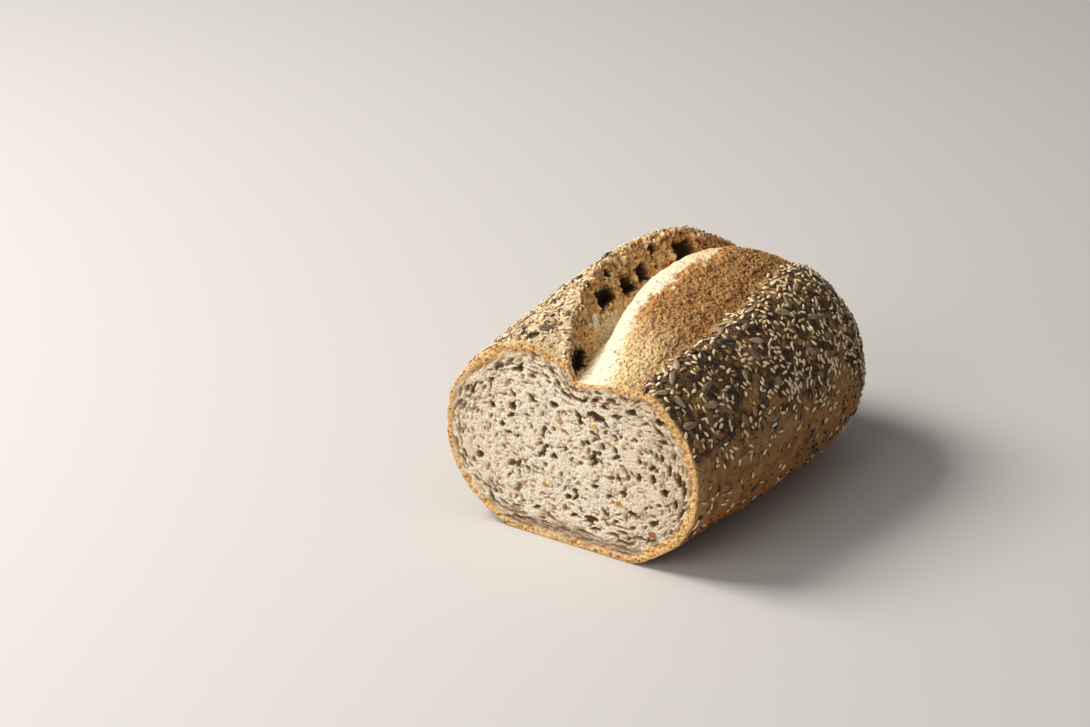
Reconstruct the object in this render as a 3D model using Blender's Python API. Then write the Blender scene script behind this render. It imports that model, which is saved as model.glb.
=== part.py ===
"""Seeded rye loaf, cut across: one solid of crust and crumb, with the larger seeds of its coat fused on.

The loaf lies along Y, its cut face towards -Y and its baked end towards +Y, flat underside on z = 0.
Sizes are in metres. Angles run round the section, from +X over the top (+Z) to -X.
"""

import math
import random

import bmesh
import bpy
from mathutils import Matrix, Vector, noise

LENGTH = 0.197  # cut face to baked end
HALF_WIDTH = 0.0705  # at the cut face
AXIS_HEIGHT = 0.045  # height of the widest line above the board
RISE = 0.046  # widest line to the top of the dome, at the cut face
DROP = 0.0505  # widest line to the round underside, before the board flattens it
SWELL_WIDTH = 0.08  # share by which the loaf is wider at mid length than at the cut
SWELL_RISE = 0.27  # share by which its dome is taller
SWELL_RISE_LATE = 1.15  # how far past mid length the dome is tallest, 1 for none
DOME_SQUARENESS = 2.5  # superellipse powers of the section
UNDERSIDE_SQUARENESS = 2.15

END_ROUNDING = 0.078  # length of the rounded baked end
END_SQUARENESS = 2.6
END_DOME = 0.8  # how late the dome comes down towards the tip, lower is later
END_UNDERSIDE = 0.40  # how late the underside turns up
END_AXIS_DROP = 0.013  # how far the widest line comes down at the tip

# The baker's slash opened in the oven: a torn wall rises from its groove, on the left, to a crusty lip.
SLASH_LENGTH = 0.188
SLASH_FADE = 0.030  # stretch at its far end over which the groove runs out
GROOVE_AT_CUT = 0.0040
GROOVE_BOW = 0.0225  # how far the groove bows to the left
GROOVE_DEPTH = 0.0045
GROOVE_DEPTH_BOW = 0.0105
BANK_WIDTH = 0.0125  # right bank of the groove
BANK_WIDTH_BOW = -0.0075
WALL_WIDTH = 0.0050  # torn wall, from the groove to the lip
WALL_WIDTH_BOW = 0.0120
LIP_HEIGHT_BOW = 0.0032
LIP_ROUND = 0.0070
RIDGE_HEIGHT = 0.0080  # floury ridge to the right of the groove, tallest past mid length
RIDGE_LATE = 1.15
RIDGE_OFF_GROOVE = 0.0195
RIDGE_HALF_WIDTH = 0.0185
RIDGE_FOOT = 0.0060  # how far from the groove the ridge has its full height
CRAGS = 0.0022  # roughness of the torn wall
CRAG_SIZE = 0.0085
LOBE_HEIGHT = 0.0082  # round lobe to the left of the slash
LOBE_AT = -0.0310
LOBE_HALF_WIDTH = 0.0250

# The seeded crust of the right flank starts at a shallow valley beside the burst crust.
SEAM_AT = 0.0370
SEAM_TURN_IN = 0.15  # slope with which it nears the middle, past SEAM_TURN_FROM
SEAM_TURN_FROM = 0.090
SEAM_DEPTH = 0.0042
SEAM_HALF_WIDTH = 0.0060
SHOULDER_HEIGHT = 0.0045
SHOULDER_OFF_SEAM = 0.0080
SHOULDER_HALF_WIDTH = 0.0130

WAVES = 0.0010  # slow unevenness of a loaf shaped by hand
WAVE_SIZE = 0.0450
RELIEF_ONSET = 2.2  # how soon above the widest line the relief has its full height

ROWS_ALONG = 21
ROWS_ROUND_END = 12
COLUMNS = 58
COLUMNS_DRAWN_UP = 0.48  # share by which the columns draw together at the slash
COLUMNS_CENTRE = math.radians(99)

CRUST_COLOUR = (0.36, 0.18, 0.065, 1.0)
CRUST_ROUGHNESS = 0.75

SEED_SIDES = 5
SEED_RINGS = 4
# name, length, width, thickness, how many, least distance between middles
SEED_KINDS = (
    ("sunflower_kernel", 0.0092, 0.0050, 0.0030, 74, 0.0120),
    ("flax_seed", 0.0054, 0.0028, 0.0018, 52, 0.0085),
    ("sesame_seed", 0.0038, 0.0024, 0.0016, 40, 0.0078),
)
SEED_TAPER = 0.35
SEED_SUNK = 0.06  # share of its thickness by which a seed's middle lies under the crust
BARE_RIM = 0.0075  # crust beside the cut that has no seeds
SEEDS_OFF_LIP = 0.0030
SEEDS_ABOVE = 0.036  # height over the board at which the coat of seeds ends
COAT_ANGLES = (-0.2, math.pi + 0.2)
COAT_SHARES = (0.02, 0.94)
SEED_TRIES = 8000
RANDOM_SEED = 7


def smooth_step(t):
    t = min(max(t, 0.0), 1.0)
    return t * t * (3 - 2 * t)


def bump(x, centre, half_width):
    return math.exp(-(((x - centre) / half_width) ** 2))


def swell(y, late=1.0):
    """0 at the cut face and at the baked end, 1 at mid length, or past it where late is over 1."""
    return math.sin(math.pi * (y / LENGTH) ** late)


def slash_bow(y):
    """0 at the cut face, 1 at the middle of the slash and 0 where it ends."""
    return math.sin(math.pi * min(y / SLASH_LENGTH, 1.0))


def groove_x(y):
    return GROOVE_AT_CUT - GROOVE_BOW * slash_bow(y)


def lip_x(y):
    return groove_x(y) - WALL_WIDTH - WALL_WIDTH_BOW * slash_bow(y)


def seam_x(y):
    return SEAM_AT - SEAM_TURN_IN * max(y - SEAM_TURN_FROM, 0.0)


def slash_relief(x, y):
    """Height that groove, torn wall, lip and lobe add to the dome."""
    bow = slash_bow(y)
    groove, lip = groove_x(y), lip_x(y)
    depth = (GROOVE_DEPTH + GROOVE_DEPTH_BOW * bow) * smooth_step((SLASH_LENGTH - y) / SLASH_FADE)
    lobe = LOBE_HEIGHT * bump(x, LOBE_AT, LOBE_HALF_WIDTH)
    if x >= groove:
        ridge = RIDGE_HEIGHT * swell(y, RIDGE_LATE)
        ridge *= bump(x, groove + RIDGE_OFF_GROOVE, RIDGE_HALF_WIDTH)
        ridge *= smooth_step((x - groove) / RIDGE_FOOT)
        return ridge - depth * bump(x, groove, BANK_WIDTH + BANK_WIDTH_BOW * bow)
    climb = smooth_step((groove - x) / (groove - lip))
    lip_height = LIP_HEIGHT_BOW * bow * bump(min(x, lip), lip, LIP_ROUND)
    crags = CRAGS * bow * noise.noise(Vector((x, y, 0)) / CRAG_SIZE) * math.sin(math.pi * climb)
    return crags - depth * (1 - climb) + (lobe + lip_height) * climb


def seam_relief(x, y):
    """The shallow valley where the seeded crust starts, and the shoulder beside it."""
    seam = seam_x(y)
    valley = -SEAM_DEPTH * slash_bow(y) * bump(x, seam, SEAM_HALF_WIDTH)
    return valley + SHOULDER_HEIGHT * bump(x, seam + SHOULDER_OFF_SEAM, SHOULDER_HALF_WIDTH)


def loaf_point(angle, y, end):
    """A point of the crust. end is 1 along the body and falls to 0 at the tip of the baked end."""
    half_width = HALF_WIDTH * (1 + SWELL_WIDTH * swell(y)) * end
    if math.sin(angle) >= 0:
        height = RISE * (1 + SWELL_RISE * swell(y, SWELL_RISE_LATE)) * end**END_DOME
        power = DOME_SQUARENESS
    else:
        height = DROP * end**END_UNDERSIDE
        power = UNDERSIDE_SQUARENESS
    across, up = abs(math.cos(angle)), abs(math.sin(angle))
    reach = ((across / half_width) ** power + (up / height) ** power) ** (-1 / power)
    spot = Vector((math.cos(angle) * HALF_WIDTH, y, math.sin(angle) * HALF_WIDTH))
    reach += WAVES * noise.noise(spot / WAVE_SIZE) * end
    x = reach * math.cos(angle)
    z = AXIS_HEIGHT - END_AXIS_DROP * (1 - end) + reach * math.sin(angle)
    if math.sin(angle) > 0:
        relief = slash_relief(x, y) + seam_relief(x, y)
        z += relief * smooth_step(RELIEF_ONSET * math.sin(angle)) * end
    return Vector((x, y - LENGTH / 2, max(z, 0.0)))


def station(share):
    """(distance from the cut, end rounding) of a row, share 0 at the cut, 0.5 where rounding starts."""
    body = LENGTH - END_ROUNDING
    if share <= 0.5:
        return body * share * 2, 1.0
    end = math.cos(math.pi * (share - 0.5))
    return body + END_ROUNDING * (1 - end**END_SQUARENESS) ** (1 / END_SQUARENESS), end


def column_angle(column):
    turn = math.tau * column / COLUMNS
    return COLUMNS_CENTRE + turn - COLUMNS_DRAWN_UP * math.sin(turn)


def loaf_body():
    """The loaf without seeds: rings of points from the cut face to the tip, joined by quads."""
    mesh = bmesh.new()
    shares = [0.5 * i / ROWS_ALONG for i in range(ROWS_ALONG + 1)]
    shares += [0.5 + 0.5 * (i + 1) / (ROWS_ROUND_END + 1) for i in range(ROWS_ROUND_END)]
    rings = []
    for share in shares:
        y, end = station(share)
        rings.append([mesh.verts.new(loaf_point(column_angle(c), y, end)) for c in range(COLUMNS)])
    for near, far in zip(rings, rings[1:]):
        for c in range(COLUMNS):
            d = (c + 1) % COLUMNS
            mesh.faces.new((near[c], far[c], far[d], near[d]))
    tip = mesh.verts.new(Vector((0, LENGTH / 2, AXIS_HEIGHT - END_AXIS_DROP)))
    for c in range(COLUMNS):
        mesh.faces.new((rings[-1][c], tip, rings[-1][(c + 1) % COLUMNS]))
    cut_face = mesh.faces.new(rings[0])
    bmesh.ops.triangulate(mesh, faces=[cut_face])
    bmesh.ops.recalc_face_normals(mesh, faces=mesh.faces)
    return mesh


def crust_frame(angle, share):
    """Point and outward normal of the crust."""
    step = 0.004  # in radians and in shares
    centre = loaf_point(angle, *station(share))
    round_it = loaf_point(angle + step, *station(share)) - loaf_point(angle - step, *station(share))
    along = loaf_point(angle, *station(share + step)) - loaf_point(angle, *station(share - step))
    return centre, round_it.cross(along).normalized() * -1


def in_seed_coat(spot):
    """True where the seed mix sticks: flanks and end, but not the burst, the rim of the cut or the foot."""
    y = spot.y + LENGTH / 2
    if y < BARE_RIM or spot.z < SEEDS_ABOVE:
        return False
    on_left = spot.x < lip_x(y) - SEEDS_OFF_LIP
    on_right = spot.x > seam_x(y)
    return on_left or on_right or y > SLASH_LENGTH


def seed_mesh(name, length, width, thickness):
    """A grain drawn out along X and pointed at one end."""
    mesh = bmesh.new()
    bmesh.ops.create_uvsphere(mesh, u_segments=SEED_SIDES, v_segments=SEED_RINGS, radius=0.5)
    bmesh.ops.rotate(mesh, verts=mesh.verts, matrix=Matrix.Rotation(math.pi / 2, 3, "Y"))
    for vert in mesh.verts:
        taper = 1 - SEED_TAPER * vert.co.x
        vert.co = Vector((vert.co.x * length, vert.co.y * width * taper, vert.co.z * thickness * taper))
    data = bpy.data.meshes.new(name)
    mesh.to_mesh(data)
    mesh.free()
    return data


def place_seeds(coat):
    """Adds one object for each seed to the collection, the largest kind first, spread evenly."""
    draw = random.Random(RANDOM_SEED)
    taken = []
    for name, length, width, thickness, count, apart in SEED_KINDS:
        data = seed_mesh(name, length, width, thickness)
        placed = 0
        for _ in range(SEED_TRIES):
            if placed == count:
                break
            spot, normal = crust_frame(draw.uniform(*COAT_ANGLES), draw.uniform(*COAT_SHARES))
            if not in_seed_coat(spot) or any((spot - other).length < apart for other in taken):
                continue
            taken.append(spot)
            placed += 1
            seed = bpy.data.objects.new(f"{name}_{placed}", data)
            turn = Matrix.Rotation(draw.uniform(0, math.tau), 4, "Z")
            upright = normal.to_track_quat("Z", "Y").to_matrix().to_4x4()
            seed.matrix_world = Matrix.Translation(spot - normal * SEED_SUNK * thickness) @ upright @ turn
            coat.objects.link(seed)


def crust_material():
    made = bpy.data.materials.new("baked crust")
    made.use_nodes = True
    shader = made.node_tree.nodes["Principled BSDF"]
    shader.inputs["Base Color"].default_value = CRUST_COLOUR
    shader.inputs["Roughness"].default_value = CRUST_ROUGHNESS
    return made


def fuse(loaf, coat):
    """Joins every seed to the loaf in one union, then removes the loose seeds."""
    union = loaf.modifiers.new("seed coat", "BOOLEAN")
    union.operation = "UNION"
    union.operand_type = "COLLECTION"
    union.collection = coat
    union.solver = "EXACT"
    graph = bpy.context.evaluated_depsgraph_get()
    joined = bpy.data.meshes.new_from_object(loaf.evaluated_get(graph))
    loaf.modifiers.clear()
    loaf.data = joined
    for seed in list(coat.objects):
        bpy.data.objects.remove(seed)
    bpy.data.collections.remove(coat)


def main():
    for old in list(bpy.data.objects):
        bpy.data.objects.remove(old)
    body = loaf_body()
    data = bpy.data.meshes.new("rye_loaf")
    body.to_mesh(data)
    body.free()
    data.materials.append(crust_material())
    loaf = bpy.data.objects.new("rye_loaf", data)
    bpy.context.scene.collection.objects.link(loaf)
    coat = bpy.data.collections.new("seed coat")
    bpy.context.scene.collection.children.link(coat)
    place_seeds(coat)
    fuse(loaf, coat)
    loaf.data.shade_smooth()
    loaf.data.set_sharp_from_angle(angle=math.radians(40))


main()
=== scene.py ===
from itertools import product

import bpy
import numpy as np
from mathutils import Matrix, Vector


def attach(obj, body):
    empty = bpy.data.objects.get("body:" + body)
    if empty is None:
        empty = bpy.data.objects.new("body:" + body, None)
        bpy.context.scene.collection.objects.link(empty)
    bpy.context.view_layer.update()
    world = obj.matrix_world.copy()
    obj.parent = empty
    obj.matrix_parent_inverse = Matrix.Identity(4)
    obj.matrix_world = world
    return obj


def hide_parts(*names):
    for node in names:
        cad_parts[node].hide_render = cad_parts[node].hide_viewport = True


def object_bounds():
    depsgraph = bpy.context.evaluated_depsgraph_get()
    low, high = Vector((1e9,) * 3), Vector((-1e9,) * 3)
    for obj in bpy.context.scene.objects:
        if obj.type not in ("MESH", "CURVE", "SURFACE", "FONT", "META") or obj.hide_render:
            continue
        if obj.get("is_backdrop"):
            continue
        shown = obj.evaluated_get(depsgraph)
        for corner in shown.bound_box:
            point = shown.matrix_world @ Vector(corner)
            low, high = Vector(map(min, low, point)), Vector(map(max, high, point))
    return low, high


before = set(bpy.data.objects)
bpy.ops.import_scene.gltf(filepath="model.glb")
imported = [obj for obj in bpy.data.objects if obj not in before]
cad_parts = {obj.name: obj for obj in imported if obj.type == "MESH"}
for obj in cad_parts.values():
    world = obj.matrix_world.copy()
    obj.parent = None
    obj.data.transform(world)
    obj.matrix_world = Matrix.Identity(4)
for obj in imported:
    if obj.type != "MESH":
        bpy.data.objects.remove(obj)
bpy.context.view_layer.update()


# Crust: the baked skin of a hand-shaped rye loaf, flat underneath, domed above and cut straight across.
# It is dough that the oven dried hard and brown, lumpy from proving and sandy with rye meal.
# One shell from just behind the cut to the far end, sunk where the burst lies over it.
LENGTH = 0.197
HALF_WIDTH = 0.0705
AXIS_HEIGHT = 0.045
RISE = 0.046
DROP = 0.0505
SWELL_WIDTH = 0.08
SWELL_RISE = 0.27
SWELL_RISE_LATE = 1.15
DOME_SQUARENESS = 2.5
UNDERSIDE_SQUARENESS = 2.15
END_ROUNDING = 0.078
END_SQUARENESS = 2.6
END_DOME = 0.8
END_UNDERSIDE = 0.40
END_AXIS_DROP = 0.013

SLASH_LENGTH = 0.188
SLASH_FADE = 0.030
GROOVE_AT_CUT = 0.0040
GROOVE_BOW = 0.0225
GROOVE_DEPTH = 0.0045
GROOVE_DEPTH_BOW = 0.0105
BANK_WIDTH = 0.0125
BANK_WIDTH_BOW = -0.0075
WALL_WIDTH = 0.0050
WALL_WIDTH_BOW = 0.0120
LIP_HEIGHT_BOW = 0.0032
LIP_ROUND = 0.0070
RIDGE_HEIGHT = 0.0080
RIDGE_LATE = 1.15
RIDGE_OFF_GROOVE = 0.0195
RIDGE_HALF_WIDTH = 0.0185
RIDGE_FOOT = 0.0060
LOBE_HEIGHT = 0.0082
LOBE_AT = -0.0310
LOBE_HALF_WIDTH = 0.0250
SEAM_AT = 0.0370
SEAM_TURN_IN = 0.15
SEAM_TURN_FROM = 0.090
SEAM_DEPTH = 0.0042
SEAM_HALF_WIDTH = 0.0060
SHOULDER_HEIGHT = 0.0045
SHOULDER_OFF_SEAM = 0.0080
SHOULDER_HALF_WIDTH = 0.0130
WAVES = 0.0010
WAVE_SIZE = 0.0450
RELIEF_ONSET = 2.2

OPEN_END = 0.178
TORN_EDGE = 0.0007
FLAP_STEP = 0.0010
BAND_WIDTH = 0.0198
BAND_WIDENS = 0.0044
BAND_END = 0.156

CUT_JOIN = 0.0050
JOIN_STEP = 0.0010
JOIN_DIP = 0.0012
WINDOW_OFF_LIP = 0.0070
WINDOW_OFF_SEAM = 0.0050
WINDOW_END = 0.186
WINDOW_SINK = 0.0040

SKIN_COLUMNS = 370
SKIN_ROWS = 120
SKIN_ROWS_ROUND_END = 112

SLOPES = np.random.default_rng(5).normal(size=(256, 3))
SLOPES /= np.linalg.norm(SLOPES, axis=1)[:, None]


def eased(share):
    """0 below 0, 1 above 1, and a smooth rise between them."""
    share = np.clip(share, 0, 1)
    return share * share * (3 - 2 * share)


def bump(x, centre, half_width):
    """1 at the centre, fading to 0 a few half widths off."""
    return np.exp(-(((x - centre) / half_width) ** 2))


def noise(points, size, seed=0):
    """Smooth noise of about -1 to 1 at the points; its lumps have one size, or one along each axis."""
    place = points / np.asarray(size) + 31.7 * seed
    cell = np.floor(place).astype(np.int64)
    part = place - cell
    ease = part**3 * (part * (part * 6 - 15) + 10)
    total = np.zeros(len(points))
    for corner in product((0, 1), repeat=3):
        at = cell + corner
        key = (at[:, 0] * 73856093) ^ (at[:, 1] * 19349663) ^ (at[:, 2] * 83492791)
        slope = SLOPES[(key ^ (key >> 9) ^ (key >> 17)) & 255]
        weight = np.prod(np.where(corner, ease, 1 - ease), axis=1)
        total += weight * np.sum(slope * (part - corner), axis=1)
    return total * 1.6


def ridges(points, size, seed=0):
    """Noise folded into sharp crests, from about -1 in the gaps to 1 on the crests."""
    return 1 - 2.6 * np.abs(noise(points, size, seed))


def slash_bow(y):
    """How far along its bow the slash is, 0 at both its ends and 1 in the middle."""
    return np.sin(np.pi * np.clip(y / SLASH_LENGTH, 0, 1))


def swell(y, late=1.0):
    """The loaf's swelling, 0 at the cut and the far end; above 1, late moves its peak to the far end."""
    return np.sin(np.pi * (np.clip(y, 0, LENGTH) / LENGTH) ** late)


def groove_at(y):
    """Where the foot of the slash runs."""
    return GROOVE_AT_CUT - GROOVE_BOW * slash_bow(y)


def lip_at(y):
    """Where the seeded crust of the left lobe ends and the torn wall begins."""
    return groove_at(y) - WALL_WIDTH - WALL_WIDTH_BOW * slash_bow(y)


def seam_at(y):
    """Where the open burst ends and the seeded crust of the right flank begins."""
    return SEAM_AT - SEAM_TURN_IN * np.maximum(y - SEAM_TURN_FROM, 0)


def band_at(y):
    """The right edge of the floury band that lies along the groove."""
    width = BAND_WIDTH + BAND_WIDENS * eased((y - 0.058) / 0.020)
    return groove_at(y) + width * eased((BAND_END - y) / 0.040)


def slash_relief(x, y):
    """Height of the slash's form: lobe, lip, torn wall, groove and the burst's ridge."""
    bow = slash_bow(y)
    groove, lip = groove_at(y), lip_at(y)
    depth = (GROOVE_DEPTH + GROOVE_DEPTH_BOW * bow) * eased((SLASH_LENGTH - y) / SLASH_FADE)
    ridge = RIDGE_HEIGHT * swell(y, RIDGE_LATE) * bump(x, groove + RIDGE_OFF_GROOVE, RIDGE_HALF_WIDTH)
    ridge = ridge * eased((x - groove) / RIDGE_FOOT)
    bank = ridge - depth * bump(x, groove, BANK_WIDTH + BANK_WIDTH_BOW * bow)
    climb = eased((groove - x) / (groove - lip))
    lobe = LOBE_HEIGHT * bump(x, LOBE_AT, LOBE_HALF_WIDTH)
    lobe = lobe + LIP_HEIGHT_BOW * bow * bump(np.minimum(x, lip), lip, LIP_ROUND)
    return np.where(x >= groove, bank, lobe * climb - depth * (1 - climb))


def seam_relief(x, y):
    """Crease at the seam, and the shoulder of seeded crust beyond it."""
    crease = SEAM_DEPTH * slash_bow(y) * bump(x, seam_at(y), SEAM_HALF_WIDTH)
    return SHOULDER_HEIGHT * bump(x, seam_at(y) + SHOULDER_OFF_SEAM, SHOULDER_HALF_WIDTH) - crease


CAVITIES = np.array((
    # in mm: how far off the groove, how far from the cut, half length, half width, depth
    (-3.0, 17.0, 10.5, 2.1, 5.0), (-8.2, 69.0, 8.2, 2.0, 8.0), (-7.4, 90.5, 5.4, 2.2, 8.5),
    (-7.9, 104.0, 4.4, 1.8, 7.5), (-7.0, 134.5, 8.0, 2.6, 9.5), (-12.2, 77.5, 1.8, 1.2, 2.6),
    (-11.2, 115.5, 2.2, 1.3, 3.0), (-13.5, 59.0, 1.6, 1.2, 2.4), (1.8, 45.5, 1.3, 1.1, 1.5),
)) / 1000
# Near black: a painted shade deep in the cavities.
CAVITY_SHADE = "#1f110a"
INTO_WALL = (-0.85, 0, -0.45)
SHELL_CLEARANCE = 0.004


def cavity_form(x, y):
    """How far inside a cavity each point lies, from 0 to 1, and how deep it is there."""
    spots = np.stack([x, y, np.zeros_like(x)], -1)
    wander = 0.45 * noise(spots, 0.0040, 11) + 0.26 * noise(spots, 0.0016, 12)
    hollow, sunk = np.zeros_like(x), np.zeros_like(x)
    for off, along, half_length, half_width, depth in CAVITIES:
        reach = np.hypot((x - groove_at(y) - off) / half_width, (y - along) / half_length)
        hollow = np.maximum(hollow, eased((1.22 - reach + wander) / 0.20))
        sunk = np.maximum(sunk, eased((1.15 - reach + wander) / 0.35) * depth)
    return hollow, sunk


def form(angle, y, end):
    """The form's points at an angle round the section and y from the cut; end is the share of full width."""
    across, up = np.cos(angle), np.sin(angle)
    top = up > 0
    half_width = HALF_WIDTH * (1 + SWELL_WIDTH * swell(y)) * end
    dome = RISE * (1 + SWELL_RISE * swell(y, SWELL_RISE_LATE)) * end**END_DOME
    height = np.where(top, dome, DROP * end**END_UNDERSIDE)
    power = np.where(top, DOME_SQUARENESS, UNDERSIDE_SQUARENESS)
    reach = ((np.abs(across) / half_width) ** power + (np.abs(up) / height) ** power) ** (-1 / power)
    around = np.stack([across * HALF_WIDTH, y, up * HALF_WIDTH], -1)
    reach = reach + WAVES * noise(around, WAVE_SIZE, 3) * end
    x = reach * across
    z = AXIS_HEIGHT - END_AXIS_DROP * (1 - end) + reach * up
    onset = eased(RELIEF_ONSET * up) * end
    z = z + (slash_relief(x, y) + seam_relief(x, y)) * onset
    return np.stack([x, y - LENGTH / 2, np.maximum(z, 0)], -1)


def end_at(y):
    """Share of the full width that is left at a distance from the cut."""
    inward = np.clip((y - LENGTH + END_ROUNDING) / END_ROUNDING, 0, 1)
    return np.maximum(1 - inward**END_SQUARENESS, 1e-6) ** (1 / END_SQUARENESS)


def angle_above(x, y):
    """The angle at which the loaf's top has a given x."""
    half_width = HALF_WIDTH * (1 + SWELL_WIDTH * swell(y)) * end_at(y)
    dome = RISE * (1 + SWELL_RISE * swell(y, SWELL_RISE_LATE)) * end_at(y) ** END_DOME
    left = np.maximum(1 - (np.abs(x) / half_width) ** DOME_SQUARENESS, 1e-4)
    return np.arctan2(dome * left ** (1 / DOME_SQUARENESS), x)


def linear(hex_colour):
    """An sRGB colour such as "#a8794a" as linear red, green, blue and alpha."""
    levels = [int(hex_colour[i : i + 2], 16) / 255 for i in (1, 3, 5)]
    return [v / 12.92 if v <= 0.04045 else ((v + 0.055) / 1.055) ** 2.4 for v in levels] + [1]


def paint(colours, share, hex_colour):
    """Lays a colour over others, each point taking its share of it."""
    colours += (np.array(linear(hex_colour)[:3]) - colours) * np.clip(share, 0, 1)[:, None]


def seed_cover(points):
    """How thickly the coat of seeds lies at each point, from 0 on bare crust to 1."""
    x, y, z = points[:, 0], points[:, 1] + LENGTH / 2, points[:, 2]
    ragged = 0.0030 * noise(points, 0.007, 21) + 0.0012 * noise(points, 0.0025, 22)
    beyond = eased((y - OPEN_END + 0.006) / 0.010)
    right = np.maximum(eased((x - seam_at(y) + 0.0014 - ragged) / 0.0018), beyond)
    left = eased((lip_at(y) - 0.0004 - x) / 0.0014) * eased((y - 0.0032 - ragged) / 0.0015)
    low = 0.050 - 0.024 * eased((y - 0.120) / 0.065) + 0.009 * noise(points, 0.016, 23)
    down = 0.24 * eased((z - 0.011) / 0.020) + 0.76 * eased((z - low) / 0.018)
    return np.maximum(right, left) * down * eased((y - 0.0008) / 0.0010)


def mat_cover(points):
    """Where the poppy seeds lie in dark mats, from 0 to 1."""
    patch = 0.60 * noise(points, 0.013, 24) + 0.75 * noise(points, 0.0048, 25)
    patch = patch + 0.35 * noise(points, 0.0020, 26)
    left = eased(-points[:, 0] / 0.010) * eased((0.150 - points[:, 1] - LENGTH / 2) / 0.03)
    far_end = eased((points[:, 1] + LENGTH / 2 - 0.150) / 0.040)
    upper = eased((points[:, 2] - 0.055) / 0.02) * eased((points[:, 0] - 0.02) / 0.01)
    patch = patch + 0.12 + 0.09 * upper - 0.42 * left - 0.40 * far_end
    return eased(patch / 0.20) * seed_cover(points)


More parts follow.
